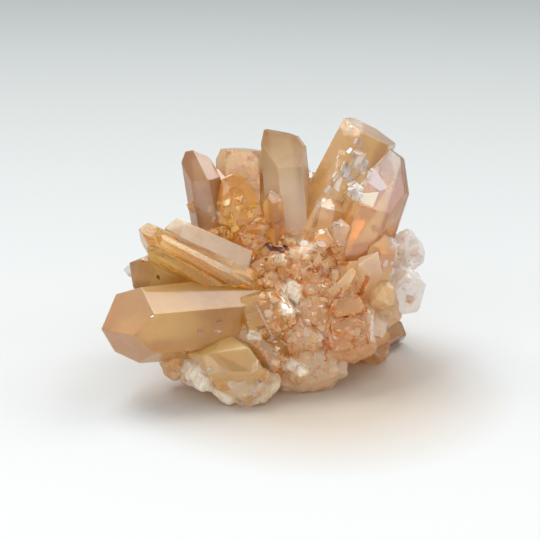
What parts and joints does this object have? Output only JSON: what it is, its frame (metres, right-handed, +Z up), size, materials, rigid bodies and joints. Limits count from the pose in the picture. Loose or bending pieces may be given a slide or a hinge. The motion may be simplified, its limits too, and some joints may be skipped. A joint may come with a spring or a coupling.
{
  "type": "tangerine quartz cluster",
  "caption": "Spray of six-sided quartz points grown from one broken, druse-covered root, translucent peach to orange with rusty stains.",
  "frame": {"origin": "under the middle of the cluster's bounding box, on the surface it rests on", "axes": "+Z up, +X to the right as seen from the front, along the cluster's longest side, -Y towards the front"},
  "size_m": [0.0702, 0.0578, 0.053],
  "materials": {
    "quartz": "glossy crystal faces, frosted and rust-stained between them"
  },
  "bodies": {
    "root": {"quartz_cluster": "quartz"}
  },
  "joints": []
}
